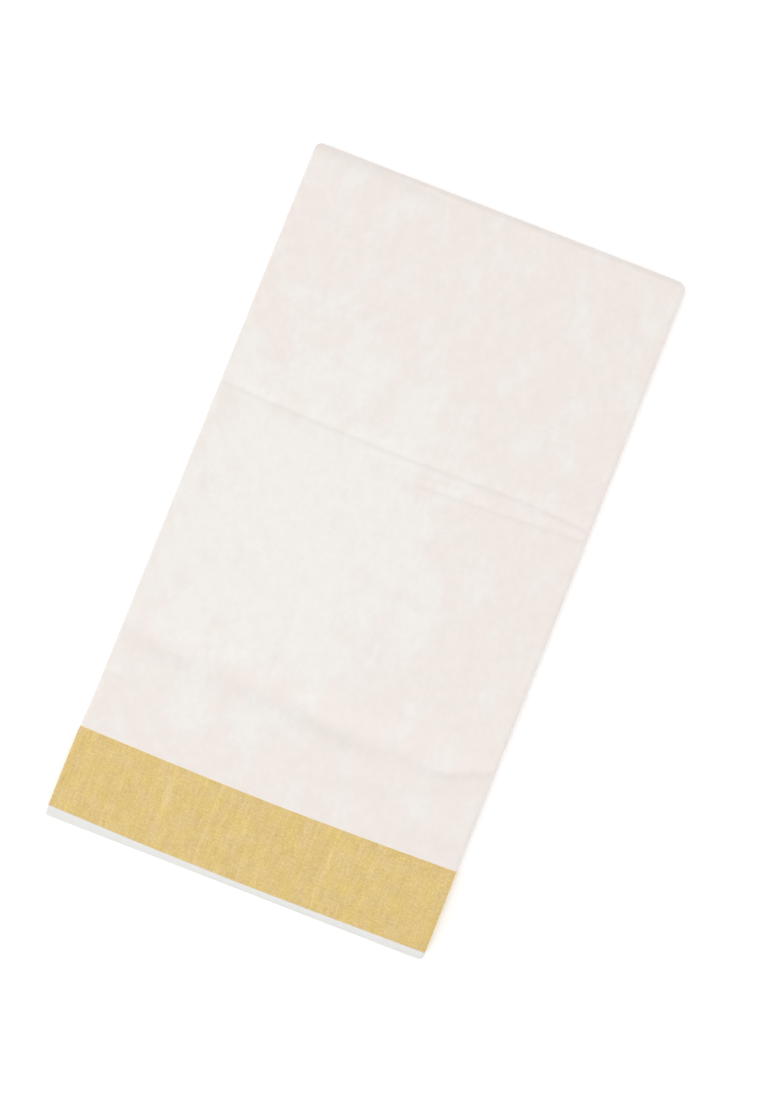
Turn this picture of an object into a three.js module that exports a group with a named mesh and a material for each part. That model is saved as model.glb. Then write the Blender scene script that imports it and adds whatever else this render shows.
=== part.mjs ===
// A cotton saree folded into a flat packet: one length of cloth with a gold border woven along each long edge.
//
// The cloth is halved four times along its length, then once across its width. That gives two bundles of
// sixteen layers that lie on each other and are joined by the fold at +Y. Both borders lie at -Y.
// At +X each bundle turns in one round fold. At -X only its outer half does, and the small folds inside it show.
// Z = 0 is the surface that the packet rests on.
import * as THREE from "three";

// Driving dimensions, mm.
const packetLength = 600;
const bundleThickness = 6;
const wall = 1.1;
const gap = 0.3;
const turnedEndLength = 14;

// The packet's sides: distance of each from the middle line, at distances down from the turned end.
const sides = {
  down: [0, 240, 490, 530, 600],
  left: [164.0, 164.8, 165.5, 166.6, 166.6],
  right: [164.3, 165.0, 165.3, 165.6, 165.9],
};

// The packet is folded a little out of square: how far each line across it leads towards +Y, per distance to +X.
const skew = 0.0084;

// Seams and cut edges across the packet: distances down from the turned end, at shares of its width from -X.
const across = [0, 0.25, 0.5, 0.75, 1];
const upperLines = {
  border: { across, down: [520.7, 522.6, 523.6, 522.9, 521.2] },
  selvedge: { across, down: [590.8, 592.9, 593.8, 593.4, 592.4] },
  edge: { across, down: [594.3, 596.4, 597.3, 596.9, 595.9] },
};
const lowerLines = {
  border: { across, down: [522.2, 523.3, 523.6, 523.1, 521.8] },
  selvedge: { across, down: [592.8, 593.8, 594.1, 593.5, 592.2] },
  edge: { across, down: [596.3, 597.3, 597.6, 597.0, 595.7] },
};

// Creases that run across the packet: troughs, or ridges where the depth is negative. A run that starts or ends
// at a side goes on over it. Any other end fades out over a share of the width.
const mainCrease = {
  halfWidth: 2.4, depth: 0.5, fade: 0.1,
  across: [0, 0.1, 0.3, 0.5, 0.8, 0.93, 1],
  down: [214.5, 216.2, 218, 218.8, 217.8, 219, 222],
};
const lowerBranch = {
  halfWidth: 3, depth: 0.3, fade: 0.1,
  across: [0.5, 0.6, 0.7, 0.8, 0.9, 1],
  down: [238, 236.5, 235, 233.7, 231.5, 230],
};
const raisedStrip = {
  halfWidth: 4, depth: -0.2, fade: 0.1,
  across: [0.5, 0.7, 0.9, 1],
  down: [228, 227, 225, 226],
};
const broadTrough = {
  halfWidth: 9, depth: 0.5, fade: 0.1,
  across: [0, 0.15, 0.3, 0.5, 0.62, 0.76, 0.88, 1],
  down: [436, 441.5, 446.5, 450, 453, 449.5, 451, 435],
};
const sidePinch = {
  halfWidth: 3, depth: 0.4, fade: 0.05,
  across: [0, 0.1],
  down: [474, 474.5],
};
const endTuck = {
  halfWidth: 2.6, depth: 0.5, fade: 0.15,
  across: [0, 0.3, 0.46, 0.62, 0.8],
  down: [2, 2.5, 7.4, 9.9, 10.3],
};
const crosswiseCreases = [mainCrease, lowerBranch, raisedStrip, broadTrough, sidePinch, endTuck];

// Soft creases that run along the packet, from the halving of the cloth. Each fades in and out over a length.
const leftCrease = {
  halfWidth: 8, depth: 0.3, fade: 30,
  down: [310, 380, 440, 640],
  across: [0.39, 0.393, 0.397, 0.385],
};
const rightCrease = {
  halfWidth: 8, depth: 0.3, fade: 30,
  down: [310, 380, 450, 640],
  across: [0.625, 0.635, 0.65, 0.69],
};
const lengthwiseCreases = [leftCrease, rightCrease];

// The small folds that show at -X, from the outside of a bundle to the plane where the bundles meet: the heights
// between which each lies, and how far it stands back from the side at the turned end and at the open end.
const looseFolds = [
  { top: 2.8, bottom: 1.4, turned: 0.6, openUpper: 1.1, openLower: 0.4 },
  { top: 1.4, bottom: 0.7, turned: 0.9, openUpper: 0.5, openLower: 1.6 },
  { top: 0.7, bottom: 0, turned: 0.5, openUpper: 1.5, openLower: 0.9 },
];

// Layer edges at the open end: steps in each bundle, the innermost one's share of its height, and how uneven the
// steps are. The innermost layers reach furthest, and the full height begins this share of the way to the edge.
const edgeSteps = 7;
const innermostShare = 0.09;
const stepUnevenness = 0.3;
const fullHeightShare = 0.9;

// How far the turned end's corners are drawn in, besides the round of the folds themselves.
const cornerInset = { left: 3, right: 4.5 };

// Fineness of the solids.
const upperColumns = 24;
const lowerColumns = 10;
const foldSegments = 6;
const turnSegments = 8;
const rowPitch = 26;
const hiddenColumns = 8;
const bulgeSegments = 4;
const hiddenStations = [575, 490, 330, 120];

// Rows of the upper panel beside its two main creases, at distances from each.
const mainCreaseRows = [-9, -4.5, -2, 0, 2, 4.5, 8, 12, 16, 21];
const broadTroughRows = [-20, -12, -6, 0, 6, 12, 20];

// Worked out from the dimensions above.
const halfLength = packetLength / 2;
const roundFold = (bundleThickness - gap / 2) / 2;
const looseFold = (bundleThickness - looseFolds[0].top - gap) / 2;
const hiddenTop = bundleThickness - wall - gap;
const halfTurn = Math.PI;

const mix = THREE.MathUtils.lerp;
const shareOf = (count) => Array.from({ length: count + 1 }, (_, i) => i / count);

// A smooth curve through a table's points.
function curve(knots, values, at) {
  const last = knots.length - 1;
  let i = 0;
  while (i < last - 1 && at > knots[i + 1]) {
    i += 1;
  }
  const slope = (a, b) => (values[b] - values[a]) / (knots[b] - knots[a]);
  const span = knots[i + 1] - knots[i];
  const leave = slope(Math.max(i - 1, 0), i + 1) * span;
  const arrive = slope(i, Math.min(i + 2, last)) * span;
  const rise = values[i + 1] - values[i];
  const t = THREE.MathUtils.clamp((at - knots[i]) / span, 0, 1);
  return values[i] + t * (leave + t * (3 * rise - 2 * leave - arrive + t * (leave + arrive - 2 * rise)));
}

// 1 inside a run, falling to 0 at its ends. An end that lies on a side of the packet doesn't fall.
function runWeight(knots, fade, at) {
  const fromStart = knots[0] === 0 ? fade : at - knots[0];
  const toEnd = knots.at(-1) === 1 ? fade : knots.at(-1) - at;
  return THREE.MathUtils.smoothstep(Math.min(fromStart, toEnd), 0, fade);
}

const troughShape = (distance, halfWidth) => Math.exp(-((distance / halfWidth) ** 2));

// Height of the upper face's creases at a share of the width and a distance down from the turned end.
function creaseHeight(share, down) {
  let height = 0;
  for (const crease of crosswiseCreases) {
    const distance = down - curve(crease.across, crease.down, share);
    const weight = runWeight(crease.across, crease.fade, share);
    height -= crease.depth * weight * troughShape(distance, crease.halfWidth);
  }
  for (const crease of lengthwiseCreases) {
    const distance = (share - curve(crease.down, crease.across, down)) * 2 * sides.left[0];
    const weight = runWeight(crease.down, crease.fade, down);
    height -= crease.depth * weight * troughShape(distance, crease.halfWidth);
  }
  return height;
}

// A row is a line of points across the packet: its distance down from the turned end at each share of the width,
// and how far the cloth has turned over there, 0 on top and half a turn underneath. A wall's rows follow the
// cloth up the top, over the turned end and back underneath.
const rowOn = (line, offset, turn) => ({
  downAt: (share) => curve(line.across, line.down, share) + offset,
  turn,
});
const straightRow = (down, turn) => ({ downAt: () => down, turn });

// Rows through the given ones, with more between where they lie far apart.
function filledRows(rows, pitch) {
  const filled = [rows[0]];
  for (let i = 1; i < rows.length; i += 1) {
    const [before, after] = [rows[i - 1], rows[i]];
    const steps = Math.max(1, Math.round(Math.abs(after.downAt(0.5) - before.downAt(0.5)) / pitch));
    for (let step = 1; step <= steps; step += 1) {
      const downAt = (share) => mix(before.downAt(share), after.downAt(share), step / steps);
      filled.push({ downAt, turn: after.turn });
    }
  }
  return filled;
}

// A point of the packet: its place between the sides, a distance out of the -X side or into the +X side, its
// height from the plane where the bundles meet, and its row.
function packetPoint(share, outwards, height, row) {
  const down = row.downAt(share);
  const drawnIn = (Math.sin(row.turn) ** 2 * height) / bundleThickness;
  const left = -curve(sides.down, sides.left, down) + cornerInset.left * drawnIn;
  const right = curve(sides.down, sides.right, down) - cornerInset.right * drawnIn;
  const x = mix(left, right, share) + outwards;
  return [
    x,
    halfLength - down + skew * x + height * Math.sin(row.turn),
    bundleThickness + height * Math.cos(row.turn),
  ];
}

// The columns of a wall's section: round the loose fold at -X, over the flat, and round the whole bundle at +X.
function wallColumns(flatCount) {
  const arc = shareOf(foldSegments).slice(1);
  return [
    ...arc.toReversed().map((t) => ({ share: 0, radius: looseFold, angle: halfTurn * (0.5 + t) })),
    ...shareOf(flatCount).map((share) => ({ share, radius: mix(looseFold, roundFold, share), angle: halfTurn / 2 })),
    ...arc.map((t) => ({ share: 1, radius: roundFold, angle: halfTurn * (0.5 - t) })),
  ];
}

// One point of a wall's section, at a depth inwards from its outer face.
function wallPoint(column, row, depth) {
  const { share, radius, angle } = column;
  const centre = mix(looseFold, -roundFold, share);
  const reach = radius - depth;
  return packetPoint(share, centre + reach * Math.cos(angle), bundleThickness - radius + reach * Math.sin(angle), row);
}

function geometryOf(points, triangles) {
  const geometry = new THREE.BufferGeometry();
  geometry.setAttribute("position", new THREE.Float32BufferAttribute(points.flat(), 3));
  geometry.setIndex(triangles.flat());
  geometry.computeVertexNormals();
  return geometry;
}

// Two triangles between each pair of neighbours in two lines of point numbers.
function strip(first, second) {
  return first.slice(1).flatMap((b, i) => [
    [first[i], b, second[i + 1]],
    [first[i], second[i + 1], second[i]],
  ]);
}

// A wall of cloth through rows and columns: an outer face with the creases, a plain inner face and four rims.
function wallGeometry(rows, columns, creased) {
  const points = [];
  const outer = [];
  const inner = [];
  for (const row of rows) {
    outer.push([]);
    inner.push([]);
    for (const column of columns) {
      const onTop = creased && row.turn <= halfTurn / 2 && Math.sin(column.angle) > 0;
      const down = row.downAt(column.share) - bundleThickness * Math.sin(row.turn);
      const rise = onTop ? creaseHeight(column.share, down) * Math.sin(column.angle) * Math.cos(row.turn) : 0;
      outer.at(-1).push(points.push(wallPoint(column, row, -rise)) - 1);
      inner.at(-1).push(points.push(wallPoint(column, row, wall)) - 1);
    }
  }
  const side = (grid, index) => grid.map((line) => line.at(index));
  const triangles = [
    ...outer.slice(1).flatMap((line, i) => strip(outer[i], line)),
    ...inner.slice(1).flatMap((line, i) => strip(line, inner[i])),
    ...strip(inner[0], outer[0]),
    ...strip(outer.at(-1), inner.at(-1)),
    ...strip(side(outer, 0), side(inner, 0)),
    ...strip(side(inner, -1), side(outer, -1)),
  ];
  return geometryOf(points, triangles);
}

// Half of the hidden layers' section, from the plane where the bundles meet, at +X, over to the same plane at -X.
// Each entry is a share of the width, a distance from that side, and a height.
function hiddenSection(down, upper) {
  const nose = roundFold - wall - gap;
  const neck = -roundFold - 2 * gap;
  const opened = THREE.MathUtils.smoothstep(down, 2 * bundleThickness, packetLength);
  const section = [
    [1, neck, 0],
    [1, neck, bundleThickness - roundFold - nose],
  ];
  for (const t of shareOf(foldSegments)) {
    const angle = halfTurn * (t - 0.5);
    section.push([1, nose * Math.cos(angle) - roundFold, bundleThickness - roundFold + nose * Math.sin(angle)]);
  }
  for (const t of shareOf(hiddenColumns).slice(1, -1)) {
    section.push([1 - t, 0, hiddenTop]);
  }
  section.push([0, looseFold + gap, hiddenTop], [0, looseFold + gap, looseFolds[0].top]);
  for (const fold of looseFolds) {
    const radius = (fold.top - fold.bottom) / 2;
    const back = mix(fold.turned, upper ? fold.openUpper : fold.openLower, opened);
    for (const t of shareOf(bulgeSegments)) {
      const angle = halfTurn * (0.5 + t);
      section.push([0, back + radius + radius * Math.cos(angle), fold.bottom + radius + radius * Math.sin(angle)]);
    }
  }
  return section;
}

// Every layer that the outer cloth covers, as one solid: stepped layer edges at the open end, a plain length, and
// a half turn about the line where the bundles' meeting plane ends.
function hiddenGeometry() {
  const points = [];
  const add = (entry, row) => points.push(packetPoint(...entry, row)) - 1;

  // The whole section at one place, its height squashed by a factor.
  const loopAt = (downAt, squash) => {
    const [upper, lower] = [1, -1].map((way) =>
      hiddenSection(downAt(0.5, 0), way > 0).map(([share, outwards, height]) => {
        const signed = way * height * squash;
        return add([share, outwards, signed], straightRow(downAt(share, signed / hiddenTop), 0));
      }),
    );
    return { upper, ring: [...upper, ...lower.slice(1, -1).reverse(), upper[0]] };
  };

  const edgeDown = (share, level) => {
    const [below, above] = [lowerLines.edge, upperLines.edge].map((line) => curve(line.across, line.down, share));
    return mix(below, above, (1 + level) / 2);
  };
  const rings = [];
  for (let step = 0; step <= edgeSteps; step += 1) {
    const reach = step === 0 ? 0 : (step + stepUnevenness * Math.sin(3 * step)) / edgeSteps;
    const downAt = (share, level) => mix(packetLength, edgeDown(share, level), fullHeightShare * reach);
    for (const index of step === 0 ? [0] : [step - 1, step]) {
      rings.push(loopAt(downAt, mix(innermostShare, 1, index / edgeSteps)).ring);
    }
  }
  for (const down of hiddenStations) {
    rings.push(loopAt(() => down, 1).ring);
  }
  const last = loopAt(() => bundleThickness, 1);
  rings.push(last.ring);

  // The turn: the upper half of the last section swings round to its lower half, about its two end points.
  const upper = last.upper;
  const swings = [upper];
  for (const t of shareOf(turnSegments).slice(1, -1)) {
    const row = straightRow(bundleThickness, halfTurn * t);
    const inside = hiddenSection(bundleThickness, true).slice(1, -1).map((entry) => add(entry, row));
    swings.push([upper[0], ...inside, upper.at(-1)]);
  }
  const lowerBack = last.ring.slice(upper.length, -1).reverse();
  swings.push([upper[0], ...lowerBack, upper.at(-1)]);

  const outline = rings[0].slice(0, -1);
  const flat = outline.map((index) => new THREE.Vector2(points[index][0], points[index][2]));
  const triangles = [
    ...THREE.ShapeUtils.triangulateShape(flat, []).map((face) => face.map((corner) => outline[corner])),
    ...rings.slice(1).flatMap((ring, i) => strip(ring, rings[i])),
    ...swings.slice(1).flatMap((swing, i) => strip(swing, swings[i])),
  ].filter(([a, b, c]) => a !== b && b !== c && c !== a);
  return geometryOf(points, triangles);
}

const cream = { color: 0xf1ebe4, roughness: 0.9, metalness: 0 };
const paleCream = { color: 0xebe9e2, roughness: 0.9, metalness: 0 };
const gold = { color: 0xe4c889, roughness: 0.55, metalness: 0.2 };

function piece(name, look, geometry) {
  const mesh = new THREE.Mesh(geometry, new THREE.MeshStandardMaterial(look));
  mesh.name = name;
  return mesh;
}

// Rows between two lines across one face of the packet, half a gap inside each.
function faceRows(from, to, turn) {
  return [rowOn(from, gap / 2, turn), rowOn(to, -gap / 2, turn)];
}

const endLine = { across, down: across.map(() => turnedEndLength) };

function upperPanelRows() {
  const [first, last] = faceRows(endLine, upperLines.border, 0);
  const beside = (crease, offsets) => offsets.map((offset) => rowOn(crease, offset, 0));
  const rows = [
    first,
    ...beside(mainCrease, mainCreaseRows),
    ...beside(broadTrough, broadTroughRows),
    last,
  ];
  return filledRows(rows, rowPitch).toReversed();
}

function endFoldRows() {
  const turn = shareOf(turnSegments).map((t) => straightRow(bundleThickness, halfTurn * t));
  const flatDown = turnedEndLength - gap / 2;
  const nearTurn = (flatDown + bundleThickness) / 2;
  return [
    straightRow(flatDown, 0),
    straightRow(nearTurn, 0),
    ...turn,
    straightRow(flatDown, halfTurn),
  ];
}

const upper = wallColumns(upperColumns);
const lower = wallColumns(lowerColumns);
const upperFace = (from, to) => {
  const rows = filledRows(faceRows(from, to, 0), rowPitch).toReversed();
  return wallGeometry(rows, upper, true);
};
const lowerFace = (from, to) => wallGeometry(faceRows(from, to, halfTurn), lower, false);

const saree = new THREE.Group();
saree.add(
  piece("top_panel", cream, wallGeometry(upperPanelRows(), upper, true)),
  piece("top_border", gold, upperFace(upperLines.border, upperLines.selvedge)),
  piece("top_selvedge", paleCream, upperFace(upperLines.selvedge, upperLines.edge)),
  piece("end_fold", cream, wallGeometry(endFoldRows(), upper, true)),
  piece("bottom_panel", cream, lowerFace(endLine, lowerLines.border)),
  piece("bottom_border", gold, lowerFace(lowerLines.border, lowerLines.selvedge)),
  piece("bottom_selvedge", paleCream, lowerFace(lowerLines.selvedge, lowerLines.edge)),
  piece("hidden_layers", cream, hiddenGeometry()),
);

// The origin is the middle of the packet's box, on the surface that it rests on.
const box = new THREE.Box3().setFromObject(saree);
const middle = box.getCenter(new THREE.Vector3());
saree.position.set(-middle.x, -middle.y, -box.min.z);
saree.updateMatrixWorld(true);

export default saree;
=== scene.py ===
"""A cotton saree folded into a flat packet: plain cream cloth with a gold border along each long edge.

The cloth is halved four times along its length and once across its width. Every piece is in metres, in the
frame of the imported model: X across the packet, +Y to the end where the cloth turns over, -Y to the borders.
"""

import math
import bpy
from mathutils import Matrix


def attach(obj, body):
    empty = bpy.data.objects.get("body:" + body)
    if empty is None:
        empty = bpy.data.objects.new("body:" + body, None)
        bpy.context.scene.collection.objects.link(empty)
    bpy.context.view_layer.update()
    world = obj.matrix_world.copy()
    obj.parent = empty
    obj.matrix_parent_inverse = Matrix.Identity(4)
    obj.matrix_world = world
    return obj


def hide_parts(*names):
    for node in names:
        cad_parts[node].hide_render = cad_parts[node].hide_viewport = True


bl_info = {
    "name": "Folded cotton saree",
    "version": (1, 0, 0),
    "blender": (4, 5, 0),
    "location": "3D View > Sidebar > Saree",
    "description": "Builds a cotton saree folded flat, layer by layer, with its woven cloth",
    "category": "Add Mesh",
}

from collections import namedtuple

import bmesh
import bpy
from mathutils import Euler, Vector, noise

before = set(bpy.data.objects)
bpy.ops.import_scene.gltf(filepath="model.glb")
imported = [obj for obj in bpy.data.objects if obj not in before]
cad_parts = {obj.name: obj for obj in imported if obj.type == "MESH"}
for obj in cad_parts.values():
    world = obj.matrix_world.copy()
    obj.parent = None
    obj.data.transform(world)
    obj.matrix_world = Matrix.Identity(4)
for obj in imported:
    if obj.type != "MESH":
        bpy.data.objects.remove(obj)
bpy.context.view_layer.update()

# --------------------------------------------------------------------------------------------------
# Sizes, in metres
# --------------------------------------------------------------------------------------------------
HALF_LENGTH = 0.3

# The packet is two bundles of layers, one over the other. PITCH is the height of one layer.
BUNDLE = 0.006
BUNDLE_LAYERS = 16
OUTER_LAYER = BUNDLE_LAYERS - 1
HALF_GAP = 0.00015
PITCH = (BUNDLE - HALF_GAP) / BUNDLE_LAYERS

# The packet is folded a little out of square: how far a line across it leads towards +Y, per metre to +X.
SKEW = 0.0084

# The packet's sides: distance of each from the middle line, at distances down from the turned end.
SIDES_DOWN = (0.0, 0.24, 0.49, 0.53, 0.6)
SIDE_LEFT = (0.1636, 0.1644, 0.1651, 0.1662, 0.1662)
SIDE_RIGHT = (0.1647, 0.1654, 0.1657, 0.1660, 0.1663)
CORNER_LEFT = 0.003
CORNER_RIGHT = 0.0045

# Radius of the outer cloth's folds, at -X round half a bundle and at +X round a whole one.
LOOSE_FOLD = 0.00145
ROUND_FOLD = (BUNDLE - HALF_GAP) / 2

# Seams and edges across the packet: distances down from the turned end, at shares of its width from -X.
ACROSS = (0.0, 0.25, 0.5, 0.75, 1.0)
MIDDLE = ACROSS.index(0.5)
Line = namedtuple("Line", "across down")
UPPER = {
    "border": Line(ACROSS, (0.5207, 0.5226, 0.5236, 0.5229, 0.5212)),
    "selvedge": Line(ACROSS, (0.5908, 0.5929, 0.5938, 0.5934, 0.5924)),
    "edge": Line(ACROSS, (0.5943, 0.5964, 0.5973, 0.5969, 0.5959)),
}
LOWER = {
    "border": Line(ACROSS, (0.5222, 0.5233, 0.5236, 0.5231, 0.5218)),
    "selvedge": Line(ACROSS, (0.5928, 0.5938, 0.5941, 0.5935, 0.5922)),
    "edge": Line(ACROSS, (0.5963, 0.5973, 0.5976, 0.5970, 0.5957)),
}
END_SEAM = 0.014

# A crease is a trough, or a ridge where its depth is negative, along a line of points. near is its half
# width on the side of the turned end or of -X, and far on the other side. Its sharpness is 2 where it is
# round and less where the cloth is nipped. Where it doesn't run over a side it fades out. Further than
# CREASE_REACH half widths from its line it counts as nothing.
Crease = namedtuple("Crease", "across down near far depth sharpness fade")
CREASE_REACH = 4
MAIN_ACROSS = (0.0, 0.1, 0.3, 0.5, 0.8, 0.93, 1.0)
MAIN_DOWN = (0.2139, 0.2153, 0.2173, 0.2183, 0.2174, 0.2189, 0.2213)
BRANCH_ACROSS = (0.5, 0.6, 0.7, 0.8, 0.9, 1.0)
BRANCH_DOWN = (0.2368, 0.2356, 0.2343, 0.2333, 0.23135, 0.2301)
BRANCH_LINE = Line((0.0, *BRANCH_ACROSS), (0.2365, *BRANCH_DOWN))
TROUGH_ACROSS = (0.0, 0.15, 0.3, 0.5, 0.62, 0.76, 0.88, 1.0)
TROUGH_DOWN = (0.4281, 0.4339, 0.4393, 0.4432, 0.4465, 0.4433, 0.4461, 0.4333)

CROSSWISE = (
    Crease(MAIN_ACROSS, MAIN_DOWN, 0.006, 0.0025, 0.00052, 1.7, 0.05),
    Crease((0.0, 0.07, 0.12), (0.2225, 0.2235, 0.2245), 0.004, 0.002, 0.00022, 1.7, 0.05),
    Crease((0.38, 0.46, 0.58, 0.70), (0.2266, 0.2272, 0.2265, 0.2254), 0.004, 0.002, 0.0002, 1.7, 0.06),
    Crease(BRANCH_ACROSS, BRANCH_DOWN, 0.005, 0.0021, 0.0004, 1.7, 0.12),
    Crease(TROUGH_ACROSS, TROUGH_DOWN, 0.018, 0.011, 0.001, 2, 0.1),
    Crease((0.44, 0.54, 0.62, 0.72), (0.4436, 0.4453, 0.4480, 0.4457), 0.014, 0.0085, 0.0008, 2, 0.09),
    Crease((0.84, 0.9, 0.95, 1.0), (0.4520, 0.4487, 0.4412, 0.4348), 0.006, 0.003, 0.0008, 1.7, 0.05),
    Crease((0.62, 0.72, 0.82, 0.92), (0.4836, 0.4788, 0.4690, 0.4542), 0.012, 0.008, 0.0006, 2, 0.09),
    Crease((0.76, 0.88, 1.0), (0.5080, 0.5022, 0.4955), 0.011, 0.007, 0.0004, 2, 0.1),
    Crease((0.0, 0.06, 0.1), (0.4708, 0.4714, 0.4715), 0.003, 0.0016, 0.00034, 1.6, 0.05),
    Crease((0.0, 0.15, 0.3, 0.42), (0.003, 0.0042, 0.0058, 0.008), 0.003, 0.005, 0.0008, 1.8, 0.14),
    Crease((0.85, 0.9, 0.96), (0.032, 0.036, 0.045), 0.006, 0.003, 0.0003, 2, 0.03),
)
LENGTHWISE = (
    Crease((0.39, 0.393, 0.397, 0.385), (0.31, 0.38, 0.44, 0.64), 0.0055, 0.010, 0.0004, 2, 0.05),
    Crease((0.388, 0.392, 0.396), (0.315, 0.37, 0.425), 0.003, 0.006, 0.00015, 2, 0.03),
    Crease((0.625, 0.635, 0.65, 0.69), (0.31, 0.38, 0.45, 0.64), 0.0055, 0.010, 0.0003, 2, 0.05),
    Crease((0.638, 0.642, 0.646), (0.345, 0.38, 0.42), 0.0022, 0.005, 0.0002, 1.8, 0.03),
    Crease((0.383, 0.383, 0.385), (0.50, 0.55, 0.64), 0.0022, 0.0022, -0.0001, 2, 0.02),
    Crease((0.688, 0.69, 0.692), (0.50, 0.55, 0.64), 0.0022, 0.0022, -0.00008, 2, 0.02),
    Crease((0.957, 0.957, 0.958), (0.50, 0.55, 0.64), 0.002, 0.002, -0.0001, 2, 0.02),
    Crease((0.60, 0.606, 0.612), (0.005, 0.03, 0.06), 0.005, 0.008, 0.0003, 2, 0.02),
    Crease((0.880, 0.872, 0.868), (0.003, 0.022, 0.038), 0.003, 0.005, 0.0004, 2, 0.015),
    Crease((0.918, 0.925, 0.932), (0.012, 0.034, 0.062), 0.003, 0.005, 0.0005, 2, 0.018),
)
# The same folding marks the underside, a little softer, because its layers are pressed flat.
CROSSWISE_BELOW = (
    Crease((0.0, 0.25, 0.6, 1.0), (0.216, 0.2185, 0.2165, 0.213), 0.0055, 0.0018, 0.00034, 1.7, 0.05),
    Crease((0.0, 0.2, 0.42, 0.55), (0.230, 0.2325, 0.231, 0.2285), 0.0045, 0.0018, 0.00024, 1.7, 0.15),
    Crease((0.0, 0.35, 0.7, 1.0), (0.443, 0.4465, 0.442, 0.4385), 0.014, 0.009, 0.00055, 2, 0.05),
    Crease((0.9, 0.95, 1.0), (0.408, 0.409, 0.409), 0.003, 0.0018, 0.00026, 1.5, 0.05),
)
LENGTHWISE_BELOW = (
    Crease((0.36, 0.355, 0.352, 0.36), (0.25, 0.36, 0.46, 0.64), 0.0055, 0.009, 0.00028, 2, 0.05),
    Crease((0.61, 0.622, 0.615), (0.12, 0.25, 0.40), 0.0055, 0.009, 0.00028, 2, 0.06),
)

# Slow unevenness of the pressed cloth: how far it sinks at most, and the spacing of its swells.
SWELL_DEPTH = 0.00016
SWELL_SPACING = 0.075

# A bundle's layers are numbered 0 to 15 from the plane where the two bundles meet. The outer cloth is 15,
# and the rest follow on from it in this order, turning over at +X and -X by turns. Layer 0 leads to 15.
ORDER = (8, 7, 4, 11, 12, 3, 2, 13, 10, 5, 6, 9, 14, 1)

# Folds at -X, with the lowest and highest layer in each, and how far each stands back from the side at the
# turned end and at the open end of either face. Layers 0 and 1 end there in cut edges.
LooseFold = namedtuple("LooseFold", "low high turned open_upper open_lower")
LOOSE_FOLDS = (
    LooseFold(8, 15, 0.0, 0.0, 0.0),
    LooseFold(4, 7, 0.0006, 0.0002, 0.0004),
    LooseFold(2, 3, 0.0009, 0.0001, 0.0010),
    LooseFold(1, 1, 0.0005, 0.0003, 0.0006),
    LooseFold(0, 0, 0.0014, 0.0003, 0.0008),
)
# They wander in by this, with swells this far apart, and by this share of it at the open end.
SIDE_UNEVENNESS = 0.0004
SIDE_SPACING = 0.06
OPEN_END_SHARE = 0.25

# What shows of them is made as strips, with columns at these depths. The folds are given by the layers that
# they join and the segments of their turn, and the cut edges by their layers.
STRIP_DEPTHS = (0.006, 0.001, 0.0)
STRIP_FOLDS = ((7, 4, 8), (3, 2, 6))
STRIP_CUT_EDGES = (1, 0)

# The layers' edges at the open end reach from the outer cloth's edge to the packet's end, unevenly. Their
# strips begin at EDGE_STRIP_DOWN, with rows at shares of the way to it from the edge.
EDGE_STRIP_DOWN = 0.582
EDGE_UNEVENNESS = 0.0009
EDGE_ROWS = (0.0, 0.04, 0.3, 1.0)

# The block that stands for the middle of the hidden layers, clear of the cloth round it.
CORE_SIDES = (0.0075, 0.0045)
CORE_ENDS = (-0.2815, 0.2965)
CORE_HALF_HEIGHT = 0.0035
CORE_ROUND = 0.0015

# Fineness of the meshes: spacing of rows and columns, and segments of the folds.
FINE = 0.0023
COARSE = 1.3 * FINE
SELVEDGE_FINE = 0.0009
END_FINE = (0.0009, 0.002)
STRIP_SPACING = (0.01, 0.01)
FOLD_SEGMENTS = 12
TURN_SEGMENTS = 24
STRIP_TURN_SEGMENTS = 12
LAYER_SEGMENTS = 24
LAYER_TURN_SEGMENTS = 8
SHARP_ANGLE = math.radians(50)

# Closer rows of the upper face, at distances down from its main crease and from that crease's branch.
BESIDE_MAIN = (-0.007, -0.005, -0.0035, -0.0022, -0.001, 0.0, 0.0007, 0.0014, 0.0021, 0.003, 0.004)
BESIDE_BRANCH = (-0.0034, -0.0022, -0.001, 0.0, 0.0007, 0.0014, 0.0021, 0.003, 0.005)

# Patterns of the cloth: swells per metre round the packet's section and along the cloth, and the noise's
# detail and roughness.
Grain = namedtuple("Grain", "across along detail roughness", defaults=(2.0, 0.5))
SLUBS_LENGTHWISE = Grain(1400.0, 55.0, 3.0, 0.6)
SLUBS_CROSSWISE = Grain(45.0, 1500.0, 3.0, 0.6)
# Painted shade of fine crumples in the cloth, which mottles its colour, and how far it lightens and darkens
# it.
CRUMPLE_SHADE_GRAIN = Grain(110.0, 88.0, 3.0, 0.8)
CRUMPLE_SHADE_SHARE = 0.06
THREAD_ROUNDNESS = 0.7
RELIEF_WEIGHT = 0.6
BUMP_STRENGTH = 0.35
BUMP_HEIGHT = 0.00012

# The field's patches of tone, and a paler stretch of it that is a pool of painted light, left of the middle
# and halfway along: its centre and radii on the cloth laid flat. Over the range given last, the sum of the
# two leads from the blush to the field's own colour. The blush is the patches' warmer, darker tint, and away
# from the pool it is painted shade.
FIELD_PATCHES = Grain(33.6, 22.4, 6.0, 0.68)
PAINTED_LIGHT_CENTRE = (0.10, -0.30, 0.0)
PAINTED_LIGHT_RADII = (0.17, 0.21, 1.0)
PAINTED_LIGHT_WEIGHT = 0.3
PATCHES_AND_LIGHT_RANGE = (0.44, 0.72)

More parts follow.
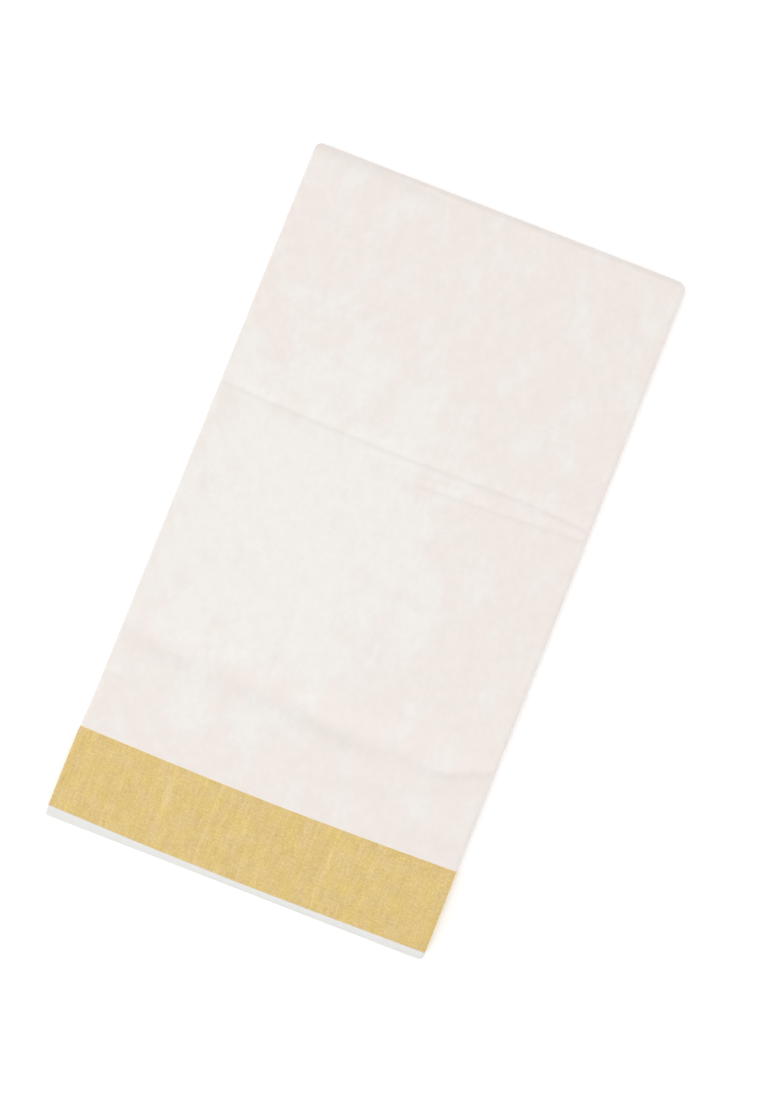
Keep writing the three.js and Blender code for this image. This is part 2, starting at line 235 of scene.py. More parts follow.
# The gold border's speckles, streaks and clouds with their weights, and its paler stripes: distance of each
# along the section, its half width and its strength. Over GOLD_RANGE, the sum of them all leads from gold
# thread to pale thread, which is yellower in warm patches.
GOLD_GRAINS = (
    (Grain(720.0, 560.0, 1.0, 0.6), 0.9),
    (Grain(110.0, 650.0, 2.0, 0.6), 0.6),
    (Grain(600.0, 90.0, 2.0, 0.6), 0.6),
    (Grain(80.0, 55.0, 2.0, 0.6), 0.4),
    (Grain(220.0, 14.0, 2.0, 0.6), 0.5),
)
PALE_STRIPES = ((0.018, 0.004, 0.08), (0.091, 0.007, 0.08), (0.1294, 0.003, 0.13), (0.2304, 0.0025, 0.1))
GOLD_RANGE = (1.05, 1.92)
WEAVE_WEIGHT = 0.2
WARM_PATCHES = Grain(75.0, 60.0)
WARM_RANGE = (0.4, 0.62)

# How each cloth takes the light, and how far its threads and slubs lighten and darken it. The threads do it
# with painted shade in the gaps between them.
Finish = namedtuple("Finish", "roughness metallic sheen threads slubs")
FINISHES = {
    "plain cotton": Finish(0.88, 0.0, 0.12, 0.045, 0.065),
    "plain selvedge": Finish(0.85, 0.0, 0.1, 0.05, 0.05),
    "gold border": Finish(0.62, 0.1, 0.1, 0.05, 0.07),
    "folded layers": Finish(0.86, 0.0, 0.1, 0.045, 0.065),
}
SPECULAR = 0.3
SHEEN_ROUGHNESS = 0.45
CLOTH_OF_SLOT = {"field": "plain cotton", "border": "gold border", "selvedge": "plain selvedge"}

# The camera, 1.28 m above the floor, turned by these degrees so that the packet leans to the right.
CAMERA_PLACE = (0.0201, -0.0183, 1.2780)
CAMERA_TURN = (0.903, -0.277, 21.682)
CAMERA_LENS = 50.0
SENSOR_LONG_SIDE = 36.0

# Soft lights, which face the packet: width and height in metres, and power in watts.
Lamp = namedtuple("Lamp", "name place size power")
LAMPS = (
    Lamp("Overhead softbox", (-0.25, 0.15, 2.6), (3.0, 3.0), 40.0),
    Lamp("Low side light", (-2.5, -4.1, 0.85), (3.0, 1.0), 135.0),
    Lamp("Low fill", (2.2, 4.3, 1.0), (3.0, 1.0), 30.0),
    Lamp("Low right fill", (4.6, -0.9, 1.0), (3.0, 1.0), 32.0),
)
STUDIO_STRENGTH = 0.625
FLOOR_HALF_SIDE = 4.0
FLOOR_GRAIN = Grain(3.0, 3.0)
FLOOR_SHADE = 0.995
FLOOR_ROUGHNESS = 0.9


# --------------------------------------------------------------------------------------------------
# Settings that a user would change
# --------------------------------------------------------------------------------------------------
class SareeSizes(bpy.types.PropertyGroup):
    """Sizes of the cloth and its threads."""

    cloth: bpy.props.FloatProperty(
        name="Cloth thickness",
        description="Thickness of one layer of cloth",
        default=0.0003,
        min=0.0001,
        max=0.00035,
        precision=5,
        unit="LENGTH",
    )
    crease: bpy.props.FloatProperty(
        name="Crease depth",
        description="Depth of every crease, as a share of its pressed depth",
        default=1.0,
        min=0.0,
        max=1.5,
        subtype="FACTOR",
    )
    thread: bpy.props.FloatProperty(
        name="Thread spacing",
        description="Distance between neighbouring threads of the weave",
        default=0.00042,
        min=0.0002,
        max=0.001,
        precision=5,
        unit="LENGTH",
    )
    slub: bpy.props.FloatProperty(
        name="Slubs",
        description="How much thicker and thinner stretches of thread show",
        default=1.0,
        min=0.0,
        max=2.0,
        subtype="FACTOR",
    )


def colour_property(name, description, value):
    return bpy.props.FloatVectorProperty(
        name=name, description=description, subtype="COLOR", size=3, min=0.0, max=1.0, default=value
    )


class SareeColours(bpy.types.PropertyGroup):
    """Colours of the cloth, linear."""

    field: colour_property("Field", "Plain cream cotton", (0.755, 0.733, 0.700))
    # The blush is the warm tint of the field's patches, and also the field's painted shade away from its pool
    # of painted light.
    blush_and_shade: colour_property("Blush", "Faint warm patches of the field", (0.751, 0.690, 0.650))
    selvedge: colour_property("Selvedge", "Plain edge outside the border", (0.70, 0.697, 0.68))
    gold: colour_property("Gold thread", "Gold thread of the border", (0.50, 0.345, 0.105))
    gold_ground: colour_property("Border ground", "Pale thread of the border", (0.75, 0.575, 0.30))
    gold_warm: colour_property("Border warm patches", "Yellower pale thread", (0.76, 0.585, 0.235))
    floor: colour_property("Floor", "The surface that the saree lies on", (0.97, 0.97, 0.97))


# --------------------------------------------------------------------------------------------------
# Shape of the packet
# --------------------------------------------------------------------------------------------------
def mix(a, b, t):
    return a + (b - a) * t


def smooth_step(low, high, value):
    t = min(1.0, max(0.0, (value - low) / (high - low)))
    return t * t * (3 - 2 * t)


def curve(knots, values, at):
    """A smooth curve through a table's points."""
    last = len(knots) - 1
    i = 0
    while i < last - 1 and at > knots[i + 1]:
        i += 1

    def slope(a, b):
        return (values[b] - values[a]) / (knots[b] - knots[a])

    span = knots[i + 1] - knots[i]
    leave = slope(max(i - 1, 0), i + 1) * span
    arrive = slope(i, min(i + 2, last)) * span
    rise = values[i + 1] - values[i]
    t = min(1.0, max(0.0, (at - knots[i]) / span))
    return values[i] + t * (leave + t * (3 * rise - 2 * leave - arrive + t * (leave + arrive - 2 * rise)))


def crease_height(crease, line, along, beside, scale):
    """Height that one crease gives the cloth at a place. line holds the knots along the crease and its
    place beside each. beside is the place's own, and scale turns the difference of the two into metres."""
    knots, values = line
    fade = crease.fade
    from_start = fade if knots[0] == 0 else along - knots[0]
    to_end = fade if knots[-1] == 1 else knots[-1] - along
    weight = smooth_step(0, fade, min(from_start, to_end))
    if weight == 0:
        return 0.0
    distance = (beside - curve(knots, values, along)) * scale
    reach = -distance / crease.near if distance < 0 else distance / crease.far
    if reach > CREASE_REACH:
        return 0.0
    return -crease.depth * weight * math.exp(-(reach**crease.sharpness))


def sink_at(share, row):
    """How far the outer cloth lies below its pressed face: 0 or less but for the raised creases."""
    down = row.down_at(share) - BUNDLE * math.sin(row.turn)
    above = row.turn < math.pi / 2
    crosswise, lengthwise = (CROSSWISE, LENGTHWISE) if above else (CROSSWISE_BELOW, LENGTHWISE_BELOW)
    width = 2 * SIDE_LEFT[0]
    height = 0.0
    for crease in crosswise:
        height += crease_height(crease, (crease.across, crease.down), share, down, 1.0)
    for crease in lengthwise:
        height += crease_height(crease, (crease.down, crease.across), down, share, width)
    # Each face reads its own plane of the noise.
    place = Vector((share * width / SWELL_SPACING, down / SWELL_SPACING, 0.0 if above else 5.0))
    swell = SWELL_DEPTH * (noise.noise(place) - 1) / 2
    return abs(math.cos(row.turn)) * (swell + bpy.context.scene.saree_sizes.crease * height)


# A line across the packet: its distance down at each share of the width, and how far the cloth has turned
# over there.
Row = namedtuple("Row", "down_at turn")

# A place in the packet's section: share of the width, distance on from there towards +X, height from the
# plane where the bundles meet, the number of its layer, and distance along the section.
Column = namedtuple("Column", "share outwards height layer along", defaults=(0.0,))


def packet_point(share, outwards, height, row):
    """A point of the packet, from its place between the sides, its height from that plane and its row."""
    down = row.down_at(share)
    drawn_in = math.sin(row.turn) ** 2 * height / BUNDLE
    left = -curve(SIDES_DOWN, SIDE_LEFT, down) + CORNER_LEFT * drawn_in
    right = curve(SIDES_DOWN, SIDE_RIGHT, down) - CORNER_RIGHT * drawn_in
    x = mix(left, right, share) + outwards
    y = HALF_LENGTH - down + SKEW * x + height * math.sin(row.turn)
    return Vector((x, y, BUNDLE + height * math.cos(row.turn)))


def cloth_run(down, turn):
    """Distance along the cloth, on from the last row before it turns over."""
    return (BUNDLE - down) * math.cos(turn) + BUNDLE * turn


def with_lengths(columns):
    """The columns with their distances along the section filled in."""
    width = 2 * SIDE_LEFT[0]
    measured = []
    along = 0.0
    before = None
    for column in columns:
        here = (column.share * width + column.outwards, column.height)
        along += math.dist(before or here, here)
        before = here
        measured.append(column._replace(along=along))
    return measured


def outer_columns(spacing):
    """Columns of the outer cloth: round the loose fold at -X, over the flat, and round the bundle at +X."""
    flat_count = round(2 * SIDE_LEFT[0] / spacing)

    def column(share, angle):
        radius = mix(LOOSE_FOLD, ROUND_FOLD, share)
        centre = mix(LOOSE_FOLD, -ROUND_FOLD, share)
        height = BUNDLE - radius + radius * math.sin(angle)
        return Column(share, centre + radius * math.cos(angle), height, OUTER_LAYER)

    steps = [step / FOLD_SEGMENTS for step in range(1, FOLD_SEGMENTS + 1)]
    loose = [column(0.0, math.pi * (0.5 + t)) for t in reversed(steps)]
    flat = [column(step / flat_count, math.pi / 2) for step in range(flat_count + 1)]
    bundle = [column(1.0, math.pi * (0.5 - t)) for t in steps]
    return with_lengths(loose + flat + bundle)


def straight_line(down):
    """A line straight across the packet."""
    return Line(ACROSS, (down,) * len(ACROSS))


def line_row(line, turn=0.0, offset=0.0):
    """The row along a line, or further down by an offset, where the cloth has turned over so far."""
    return Row(lambda share: curve(line.across, line.down, share) + offset, turn)


def line_between(near, far, t):
    """A line's distance down at each share of the width, part of the way from one line to another."""
    return lambda share: mix(near(share), far(share), t)


def filled_rows(rows, spacing):
    """Rows through the given ones, with more between where they lie far apart."""
    filled = [rows[0]]
    for before, after in zip(rows, rows[1:]):
        near, far = before.down_at, after.down_at
        count = max(1, round(abs(far(0.5) - near(0.5)) / spacing))
        for step in range(1, count + 1):
            filled.append(Row(line_between(near, far, step / count), after.turn))
    return filled


def rows_round_end(seam, spacings, segments):
    """Rows from a seam's distance down on the upper face, round the turned end and as far down the lower
    face. spacings has one for each face."""
    start, turned = straight_line(seam), straight_line(BUNDLE)
    up = filled_rows([line_row(start), line_row(turned)], spacings[0])
    over = [line_row(turned, math.pi * step / segments) for step in range(1, segments)]
    back = filled_rows([line_row(turned, math.pi), line_row(start, math.pi)], spacings[1])
    return up + over + back


def grid_sheet(rows, columns, place):
    """A sheet through rows and columns, with its UV map in metres of cloth. Its face is out where the rows
    follow the cloth up the top and over. place gives a point and its distance along the cloth."""
    sheet = bmesh.new()
    bmesh.ops.create_grid(sheet, x_segments=len(columns) - 1, y_segments=len(rows) - 1, size=0.5)
    uv = sheet.loops.layers.uv.new("cloth")
    spots = {}
    for vertex in sheet.verts:
        column = columns[round((vertex.co.x + 0.5) * (len(columns) - 1))]
        row = rows[round((vertex.co.y + 0.5) * (len(rows) - 1))]
        vertex.co, along = place(column, row)
        spots[vertex] = (column.along, along)
    for face in sheet.faces:
        face.smooth = True
        for loop in face.loops:
            loop[uv].uv = spots[loop.vert]
    for edge in sheet.edges:
        edge.smooth = not edge.is_boundary
    return sheet


def pressed_height(column, row):
    """A column's height where the creases and swells press the packet together."""
    return column.height * (1 + sink_at(column.share, row) / BUNDLE)


def outer_place(column, row):
    """Places a point of the outer cloth."""
    point = packet_point(column.share, column.outwards, pressed_height(column, row), row)
    return point, cloth_run(row.down_at(column.share), row.turn)


def new_piece(name, sheet, node, material):
    """An object made of a bmesh, which stands for a node and rides on the part."""
    mesh_data = bpy.data.meshes.new(name)
    sheet.to_mesh(mesh_data)
    sheet.free()
    mesh_data.materials.append(material)
    piece = bpy.data.objects.new(name, mesh_data)
    bpy.context.scene.collection.objects.link(piece)
    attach(piece, "root")
    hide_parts(node)
    return piece


def outer_cloth(node, slot, rows, spacing):
    """One stretch of the outer cloth, thickened inwards, and its width and length laid flat."""
    columns = outer_columns(spacing)
    sheet = grid_sheet(rows, columns, outer_place)
    piece = new_piece(node + "_cloth", sheet, node, cloth_material(CLOTH_OF_SLOT[slot]))
    thickness = piece.modifiers.new("Thickness", "SOLIDIFY")
    thickness.thickness = bpy.context.scene.saree_sizes.cloth
    thickness.offset = -1
    runs = [cloth_run(row.down_at(0.5), row.turn) for row in (rows[0], rows[-1])]
    return piece, columns[-1].along, abs(runs[1] - runs[0])


# --------------------------------------------------------------------------------------------------
# Hidden layers
# --------------------------------------------------------------------------------------------------
def layer_height(layer):
    """Height of a layer's middle from the plane where the bundles meet."""
    return HALF_GAP + PITCH * (layer + 0.5)


def loose_fold_of(layer):
    return next(fold for fold in LOOSE_FOLDS if fold.low <= layer <= fold.high)


def loose_centre(fold):
    """How far in from the side the fold's round has its centre, where it stands back by nothing."""
    return (layer_height(fold.high) - layer_height(fold.low) + PITCH) / 2 if fold.high > fold.low else 0.0


def flat_columns(layer):
    """Columns over the whole width of one layer, from -X to +X."""
    centre = loose_centre(loose_fold_of(layer))
    shares = [step / LAYER_SEGMENTS for step in range(LAYER_SEGMENTS + 1)]
    return [Column(share, mix(centre, -ROUND_FOLD, share), layer_height(layer), layer) for share in shares]


def turn_columns(start, end, side, count):
    """Columns round the turn from one layer to another at a side, 0 at -X and 1 at +X, without its ends."""
    centre = -ROUND_FOLD if side == 1 else loose_centre(loose_fold_of(start))
    low, high = layer_height(start), layer_height(end)
    way = 1 if side == 1 else -1
    columns = []
    for step in range(1, count):
        angle = math.pi * step / count
        outwards = centre + way * abs(high - low) / 2 * math.sin(angle)
        height = mix(low, high, (1 - math.cos(angle)) / 2)
        columns.append(Column(float(side), outwards, height, mix(start, end, step / count)))
    return columns


def serpentine_columns():
    """Columns through every hidden layer but 0, joined by their turns."""
    columns = flat_columns(ORDER[0])
    for place, (before, layer) in enumerate(zip(ORDER, ORDER[1:])):
        side = 1 - place % 2
        columns += turn_columns(before, layer, side, LAYER_TURN_SEGMENTS)
        columns += flat_columns(layer)[:: -1 if side else 1]
    return with_lengths(columns)


def stand_back(column, row):
    """How far a layer's fold or cut edge at -X stands back from the side there."""
    fold = loose_fold_of(round(column.layer))
    down = row.down_at(column.share)
    opened = smooth_step(2 * BUNDLE, 2 * HALF_LENGTH, down)
    open_end = fold.open_upper if row.turn < math.pi / 2 else fold.open_lower
    # Each fold reads its own line of the noise.
    uneven = noise.noise(Vector((cloth_run(down, row.turn) / SIDE_SPACING, fold.low * 3.7, 2.0)))
    wander = SIDE_UNEVENNESS * (1 + uneven) * mix(1, OPEN_END_SHARE, opened) if fold.turned else 0.0
    return mix(fold.turned, open_end, opened) + wander


def hidden_point(column, row):
    """A point of a hidden layer."""
    outwards = column.outwards + stand_back(column, row) * (1 - column.share)
    return packet_point(column.share, outwards, pressed_height(column, row), row)


def edge_down(column, turn):
    """Where a hidden layer ends at the open end."""
    line = (UPPER if turn == 0 else LOWER)["edge"]
    inner = 1 - column.layer / OUTER_LAYER
    # Each layer and face reads its own line of the noise, which counts most halfway between the outer cloth
    # and the plane where the bundles meet.
    place = Vector((column.share * 5, column.layer * 1.9, turn))
    uneven = EDGE_UNEVENNESS * noise.noise(place) * 4 * inner * (1 - inner)
    return mix(curve(line.across, line.down, column.share), 2 * HALF_LENGTH, inner) + uneven


def layer_edges(columns, turn):
    """The layers' edges at the open end of one face."""

    def place(column, share_in):
        down = mix(edge_down(column, turn), EDGE_STRIP_DOWN, share_in)
        return hidden_point(column, Row(lambda share: down, turn)), cloth_run(down, turn)

    return grid_sheet(EDGE_ROWS, columns, place)


def side_strip(columns):
    """What shows of a layer or a small fold at -X, the whole way round the turned end."""

    def place(column, row):
        return hidden_point(column, row), cloth_run(row.down_at(0.0), row.turn)

    rows = rows_round_end(EDGE_STRIP_DOWN, STRIP_SPACING, STRIP_TURN_SEGMENTS)
    return grid_sheet(rows, with_lengths(columns), place)


def strip_in(layer):
    """Columns from inside the packet out to a layer's place at -X."""
    centre = loose_centre(loose_fold_of(layer))
    return [Column(0.0, centre + depth, layer_height(layer), layer) for depth in STRIP_DEPTHS]


def strip_columns(start, end, count):
    """Columns out to a small fold at -X, round it and back in."""
    return strip_in(start) + turn_columns(start, end, 0, count) + strip_in(end)[::-1]


def thicken(sheet, thickness):
    """Gives a sheet of cloth its thickness, half of it to each side, with sharp edges."""
    sheet.normal_update()
    for vertex in sheet.verts:
        vertex.co += vertex.normal * thickness / 2
    bmesh.ops.solidify(sheet, geom=sheet.faces[:], thickness=thickness)
    sheet.normal_update()
    for edge in sheet.edges:
        edge.smooth = edge.calc_face_angle(0.0) < SHARP_ANGLE


def core():
    """A plain block for the middle of the hidden layers."""
    block = bmesh.new()
    bmesh.ops.create_cube(block, size=1.0)
    left, right = CORE_SIDES[0] - SIDE_LEFT[0], SIDE_RIGHT[0] - CORE_SIDES[1]
    back, front = CORE_ENDS
    bmesh.ops.scale(block, verts=block.verts, vec=(right - left, front - back, 2 * CORE_HALF_HEIGHT))
    bmesh.ops.translate(block, verts=block.verts, vec=((right + left) / 2, (front + back) / 2, BUNDLE))
    for vertex in block.verts:
        vertex.co.y += SKEW * vertex.co.x
    bmesh.ops.bevel(
        block, geom=block.edges[:], offset=CORE_ROUND, segments=3, profile=0.5, affect="EDGES", material=-1
    )
    return block


# --------------------------------------------------------------------------------------------------
# Materials
# --------------------------------------------------------------------------------------------------
class Tree:
    """A material's nodes, made one call at a time."""

    def __init__(self, name):
        self.material = bpy.data.materials.new(name)
        self.material.use_nodes = True
        self.nodes = self.material.node_tree.nodes
        self.links = self.material.node_tree.links
        self.nodes.clear()

    def add(self, kind, inputs=None, **settings):
        node = self.nodes.new(kind)
        for key, value in settings.items():
            setattr(node, key, value)
        for key, value in (inputs or {}).items():
            if isinstance(value, bpy.types.NodeSocket):
                self.links.new(value, node.inputs[key])
            else:
                node.inputs[key].default_value = value
        return node

    def math(self, operation, first, second=0.0, third=0.0):
        return self.add("ShaderNodeMath", {0: first, 1: second, 2: third}, operation=operation).outputs[0]

    def colour_mix(self, share, first, second, blend="MIX"):
        node = self.add("ShaderNodeMix", data_type="RGBA", blend_type=blend)
        for socket, value in ((node.inputs[0], share), (node.inputs[6], first), (node.inputs[7], second)):
            if isinstance(value, bpy.types.NodeSocket):
                self.links.new(value, socket)
            else:
                socket.default_value = value
        return node.outputs[2]

    def noise(self, vector, grain):
        stretch = (grain.across, grain.along, 1.0)
        mapping = self.add("ShaderNodeMapping", {"Vector": vector, "Scale": stretch}).outputs[0]
        inputs = {"Vector": mapping, "Scale": 1.0, "Detail": grain.detail, "Roughness": grain.roughness}
        return self.add("ShaderNodeTexNoise", inputs, noise_dimensions="3D").outputs["Fac"]

    def spread(self, value, low, high, start=0.0, end=1.0, smooth=False):
        """A value from low to high, spread from start to end."""
        inputs = {"Value": value, "From Min": low, "From Max": high, "To Min": start, "To Max": end}
        kind = "SMOOTHSTEP" if smooth else "LINEAR"
        return self.add("ShaderNodeMapRange", inputs, interpolation_type=kind).outputs[0]

    def centred(self, value, amount):
        """A value around a half, as a factor around 1."""
        return self.math("MULTIPLY_ADD", value, 2 * amount, 1.0 - amount)


def rgba(colour):
    return (*colour, 1.0)


def weave(tree, place, spacing):
    """Plain weave of two sets of threads that pass over each other: a height and a share of warp on top."""
    across = tree.add("ShaderNodeSeparateXYZ", {0: place})
    turns = math.pi / spacing
    warp = tree.math("SINE", tree.math("MULTIPLY", across.outputs[0], turns))
    weft = tree.math("SINE", tree.math("MULTIPLY", across.outputs[1], turns))
    crossing = tree.math("MULTIPLY", warp, weft)
    over = tree.math("MULTIPLY_ADD", crossing, 0.5, 0.5)
    roundness = tree.math("MULTIPLY", tree.math("ABSOLUTE", warp), tree.math("ABSOLUTE", weft))
    warp_height = tree.math("MULTIPLY", over, 1 - THREAD_ROUNDNESS)
    height = tree.math("MULTIPLY_ADD", roundness, THREAD_ROUNDNESS, warp_height)
    return height, over


def woven_cloth(name, colour_of, finish):
    """A woven material. colour_of gives its colour, by its tree, the share of warp on top and the place."""
    sizes = bpy.context.scene.saree_sizes
    tree = Tree(name)
    place = tree.add("ShaderNodeUVMap", uv_map="cloth").outputs[0]
    height, over = weave(tree, place, sizes.thread)
    # Slubs: long thin stretches of thicker thread, along the cloth and across it.
    lengthwise, crosswise = tree.noise(place, SLUBS_LENGTHWISE), tree.noise(place, SLUBS_CROSSWISE)
    slubs = tree.math("MULTIPLY_ADD", lengthwise, 0.5, tree.math("MULTIPLY", crosswise, 0.5))
    # Thread crowns lighter and the gaps between them darker: painted shade of the weave.
    threads = tree.centred(height, finish.threads)
    uneven = tree.centred(slubs, finish.slubs * sizes.slub)
    # Painted shade of fine crumples, which mottles the colour.
    mottle = tree.centred(tree.noise(place, CRUMPLE_SHADE_GRAIN), CRUMPLE_SHADE_SHARE)
    shade = tree.math("MULTIPLY", tree.math("MULTIPLY", threads, uneven), mottle)
    grey = tree.add("ShaderNodeCombineColor", {0: shade, 1: shade, 2: shade}).outputs[0]
    thread_relief = tree.math("MULTIPLY", height, RELIEF_WEIGHT)
    relief = tree.math("MULTIPLY_ADD", slubs, RELIEF_WEIGHT, thread_relief)
    bump_inputs = {"Strength": BUMP_STRENGTH, "Distance": BUMP_HEIGHT, "Height": relief}
    bump = tree.add("ShaderNodeBump", bump_inputs).outputs[0]
    surface = tree.add(
        "ShaderNodeBsdfPrincipled",
        {
            "Base Color": tree.colour_mix(1.0, colour_of(tree, over, place), grey, "MULTIPLY"),
            "Roughness": finish.roughness,
            "Metallic": finish.metallic,
            "Specular IOR Level": SPECULAR,
            "Sheen Weight": finish.sheen,
            "Sheen Roughness": SHEEN_ROUGHNESS,
            "Normal": bump,
        },
    )
    tree.add("ShaderNodeOutputMaterial", {"Surface": surface.outputs[0]})
    return tree.material


def plain_colour(colour, blush_and_shade):
    """Plain cotton: one colour, with faint soft patches of another, which away from a pool of painted light
    also stands for painted shade.
    """

    def colour_of(tree, over, place):
        # A pool of painted light: paler round a centre on the cloth laid flat.
        scale = [1 / radius for radius in PAINTED_LIGHT_RADII]
        shift = [-centre / radius for centre, radius in zip(PAINTED_LIGHT_CENTRE, PAINTED_LIGHT_RADII)]
        mapping = tree.add("ShaderNodeMapping", {"Vector": place, "Location": shift, "Scale": scale})
        pale = tree.add("ShaderNodeTexGradient", {0: mapping.outputs[0]}, gradient_type="SPHERICAL")
        # The pool of painted light added to the patches of tone picks between the blush, which is partly
        # painted shade, and the field's colour.
        both = tree.math("MULTIPLY_ADD", pale.outputs["Fac"], PAINTED_LIGHT_WEIGHT, tree.noise(place, FIELD_PATCHES))
        share = tree.spread(both, *PATCHES_AND_LIGHT_RANGE, smooth=True)
        return tree.colour_mix(share, rgba(blush_and_shade), rgba(colour))

    return colour_of


def gold_colour(gold, ground, warm):
    """Gold thread over pale thread: finely speckled, in soft clouds, with paler stripes along the cloth."""

    def colour_of(tree, over, place):
        mottle = 0.0
        for grain, weight in GOLD_GRAINS:
            mottle = tree.math("MULTIPLY_ADD", tree.noise(place, grain), weight, mottle)
        across = tree.add("ShaderNodeSeparateXYZ", {0: place}).outputs[0]
        for centre, half_width, strength in PALE_STRIPES:
            away = tree.math("ABSOLUTE", tree.math("SUBTRACT", across, centre))
            stripe = tree.spread(away, 0.0, half_width, strength, 0.0, smooth=True)
            mottle = tree.math("ADD", mottle, stripe)
        share = tree.math("MULTIPLY", tree.spread(mottle, *GOLD_RANGE), 1 - WEAVE_WEIGHT)
        threads = tree.math("MULTIPLY_ADD", over, WEAVE_WEIGHT, share)
        warmth = tree.spread(tree.noise(place, WARM_PATCHES), *WARM_RANGE)
        pale_thread = tree.colour_mix(warmth, rgba(ground), rgba(warm))
        return tree.colour_mix(threads, rgba(gold), pale_thread)

    return colour_of


def banded_colour(colours):
    """Colour by distance along the packet, alike in every hidden layer: selvedge, gold border, field."""
    field = plain_colour(colours.field, colours.blush_and_shade)
    selvedge = plain_colour(colours.selvedge, colours.selvedge)
    gold = gold_colour(colours.gold, colours.gold_ground, colours.gold_warm)

    def colour_of(tree, over, place):
        where = tree.add("ShaderNodeTexCoord").outputs["Object"]
        along = tree.add("ShaderNodeSeparateXYZ", {0: where}).outputs[1]
        at_selvedge = tree.math("LESS_THAN", along, HALF_LENGTH - UPPER["selvedge"].down[MIDDLE])
        at_border = tree.math("LESS_THAN", along, HALF_LENGTH - UPPER["border"].down[MIDDLE])
        cloth = tree.colour_mix(at_border, field(tree, over, place), gold(tree, over, place))
        return tree.colour_mix(at_selvedge, cloth, selvedge(tree, over, place))

    return colour_of


def cloth_material(kind):
    """The named cloth, made once."""
    made = bpy.data.materials.get(kind)
    if made:
        return made
    colours = bpy.context.scene.saree_colours
    colour_of = {
        "plain cotton": plain_colour(colours.field, colours.blush_and_shade),
        "plain selvedge": plain_colour(colours.selvedge, colours.selvedge),
        "gold border": gold_colour(colours.gold, colours.gold_ground, colours.gold_warm),
        "folded layers": banded_colour(colours),
    }
    return woven_cloth(kind, colour_of[kind], FINISHES[kind])


def floor_material(colour):
    """A matte surface with a trace of mottling."""
    tree = Tree("pale floor")
    mottle = tree.noise(tree.add("ShaderNodeTexCoord").outputs["Object"], FLOOR_GRAIN)
    tint = tree.colour_mix(mottle, rgba([channel * FLOOR_SHADE for channel in colour]), rgba(colour))
    surface = tree.add("ShaderNodeBsdfPrincipled", {"Base Color": tint, "Roughness": FLOOR_ROUGHNESS})
    tree.add("ShaderNodeOutputMaterial", {"Surface": surface.outputs[0]})
    return tree.material


# --------------------------------------------------------------------------------------------------
# Operators
# --------------------------------------------------------------------------------------------------
class SAREE_OT_stage(bpy.types.Operator):
    """Make the camera, the soft light and the pale floor"""

    bl_idname = "saree.stage"
    bl_label = "Camera, light and floor"

    def execute(self, context):
        scene = context.scene
        scene.view_settings.view_transform = "Standard"
        self.camera(scene)
        self.floor(scene)
        for lamp in LAMPS:
            self.light(scene, lamp)
        world = bpy.data.worlds.new("Studio")
        world.use_nodes = True
        background = world.node_tree.nodes["Background"]
        background.inputs["Color"].default_value = (1.0, 1.0, 1.0, 1.0)
        background.inputs["Strength"].default_value = STUDIO_STRENGTH
        scene.world = world
        return {"FINISHED"}

    def camera(self, scene):
        lens = bpy.data.cameras.new("Camera")
        lens.lens = CAMERA_LENS
        lens.sensor_width = SENSOR_LONG_SIDE
        camera = bpy.data.objects.new("Camera", lens)
        camera.location = CAMERA_PLACE
        camera.rotation_euler = Euler([math.radians(angle) for angle in CAMERA_TURN])
        scene.collection.objects.link(camera)
        scene.camera = camera

    def floor(self, scene):
        mesh_data = bpy.data.meshes.new("Floor")
        plane = bmesh.new()
        bmesh.ops.create_grid(plane, x_segments=1, y_segments=1, size=FLOOR_HALF_SIDE)
        plane.to_mesh(mesh_data)
        plane.free()
        mesh_data.materials.append(floor_material(scene.saree_colours.floor))
        floor = bpy.data.objects.new("Floor", mesh_data)
        scene.collection.objects.link(floor)

    def light(self, scene, lamp):
        area = bpy.data.lights.new(lamp.name, "AREA")
        area.shape = "RECTANGLE"
        area.size, area.size_y = lamp.size
        area.energy = lamp.power
        holder = bpy.data.objects.new(lamp.name, area)
        holder.location = lamp.place
        holder.rotation_euler = Vector(lamp.place).to_track_quat("Z", "Y").to_euler()
        scene.collection.objects.link(holder)


class SAREE_OT_hidden_layers(bpy.types.Operator):
    """Make the folded layers inside: their edges at the open end, their small folds and their middle"""

    bl_idname = "saree.hidden_layers"
    bl_label = "Hidden layers"

    def execute(self, context):
        runs = [serpentine_columns(), with_lengths(flat_columns(0))]
        parts = [layer_edges(columns, turn) for turn in (0.0, math.pi) for columns in runs]
        parts += [side_strip(strip_columns(*fold)) for fold in STRIP_FOLDS]
        parts += [side_strip(strip_in(layer)) for layer in STRIP_CUT_EDGES]
        whole = bmesh.new()
        for part in parts:
            thicken(part, context.scene.saree_sizes.cloth)
        for part in [*parts, core()]:
            mesh_data = bpy.data.meshes.new("part")
            part.to_mesh(mesh_data)
            part.free()
            whole.from_mesh(mesh_data)
            bpy.data.meshes.remove(mesh_data)
        new_piece("folded_layers", whole, "hidden_layers", cloth_material("folded layers"))
        return {"FINISHED"}


class SAREE_OT_lower_face(bpy.types.Operator):
    """Make the cloth that the packet rests on: plain field, gold border and selvedge"""

    bl_idname = "saree.lower_face"
    bl_label = "Lower face"

    def execute(self, context):
        lines = (straight_line(END_SEAM), LOWER["border"], LOWER["selvedge"], LOWER["edge"])
        end, border, selvedge, edge = (line_row(line, math.pi) for line in lines)
        panel = outer_cloth("bottom_panel", "field", filled_rows([end, border], COARSE), COARSE)
        band = outer_cloth("bottom_border", "border", filled_rows([border, selvedge], COARSE), COARSE)
        rim_rows = filled_rows([selvedge, edge], SELVEDGE_FINE)
        rim = outer_cloth("bottom_selvedge", "selvedge", rim_rows, COARSE)
        return {"FINISHED"}


class SAREE_OT_end_fold(bpy.types.Operator):
    """Make the cloth where the packet turns over"""

    bl_idname = "saree.end_fold"
    bl_label = "End fold"

    def execute(self, context):
        rows = rows_round_end(END_SEAM, END_FINE, TURN_SEGMENTS)
        fold = outer_cloth("end_fold", "field", rows, FINE)
        return {"FINISHED"}


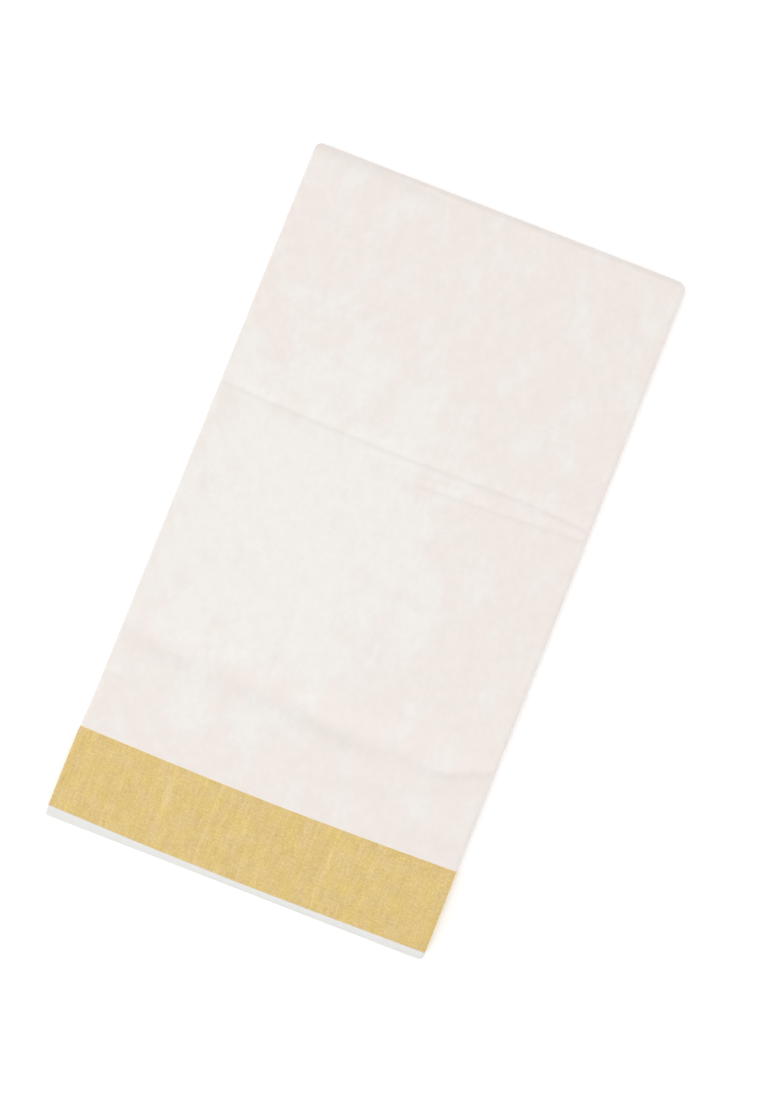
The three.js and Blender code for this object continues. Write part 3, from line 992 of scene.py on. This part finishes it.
class SAREE_OT_upper_face(bpy.types.Operator):
    """Make the cloth that shows on top: plain field, gold border and selvedge"""

    bl_idname = "saree.upper_face"
    bl_label = "Upper face"

    def execute(self, context):
        border, selvedge, edge = (line_row(UPPER[name]) for name in ("border", "selvedge", "edge"))
        main = Line(MAIN_ACROSS, MAIN_DOWN)
        field = [line_row(straight_line(END_SEAM))]
        field += [line_row(main, offset=offset) for offset in BESIDE_MAIN]
        field += [line_row(BRANCH_LINE, offset=offset) for offset in BESIDE_BRANCH]
        field += [border]
        panel = outer_cloth("top_panel", "field", filled_rows(field, FINE)[::-1], FINE)
        band = outer_cloth("top_border", "border", filled_rows([border, selvedge], FINE)[::-1], FINE)
        rim_rows = filled_rows([edge, selvedge], SELVEDGE_FINE)
        rim = outer_cloth("top_selvedge", "selvedge", rim_rows, FINE)
        return {"FINISHED"}


OPERATORS = (
    SAREE_OT_stage,
    SAREE_OT_hidden_layers,
    SAREE_OT_lower_face,
    SAREE_OT_end_fold,
    SAREE_OT_upper_face,
)


class SAREE_PT_panel(bpy.types.Panel):
    """The saree's pieces and settings, in the order that they are made"""

    bl_idname = "SAREE_PT_panel"
    bl_label = "Folded cotton saree"
    bl_space_type = "VIEW_3D"
    bl_region_type = "UI"
    bl_category = "Saree"

    def draw(self, context):
        for group in (context.scene.saree_sizes, context.scene.saree_colours):
            box = self.layout.box()
            for name in group.__annotations__:
                box.prop(group, name)
        for operator in OPERATORS:
            self.layout.operator(operator.bl_idname)


CLASSES = (SareeSizes, SareeColours, *OPERATORS, SAREE_PT_panel)


def register():
    for cls in CLASSES:
        bpy.utils.register_class(cls)
    bpy.types.Scene.saree_sizes = bpy.props.PointerProperty(type=SareeSizes)
    bpy.types.Scene.saree_colours = bpy.props.PointerProperty(type=SareeColours)


def unregister():
    del bpy.types.Scene.saree_colours
    del bpy.types.Scene.saree_sizes
    for cls in reversed(CLASSES):
        bpy.utils.unregister_class(cls)


def main():
    register()
    bpy.ops.saree.stage()
    bpy.ops.saree.hidden_layers()
    bpy.ops.saree.lower_face()
    bpy.ops.saree.end_fold()
    bpy.ops.saree.upper_face()
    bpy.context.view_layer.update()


if __name__ == "__main__":
    main()
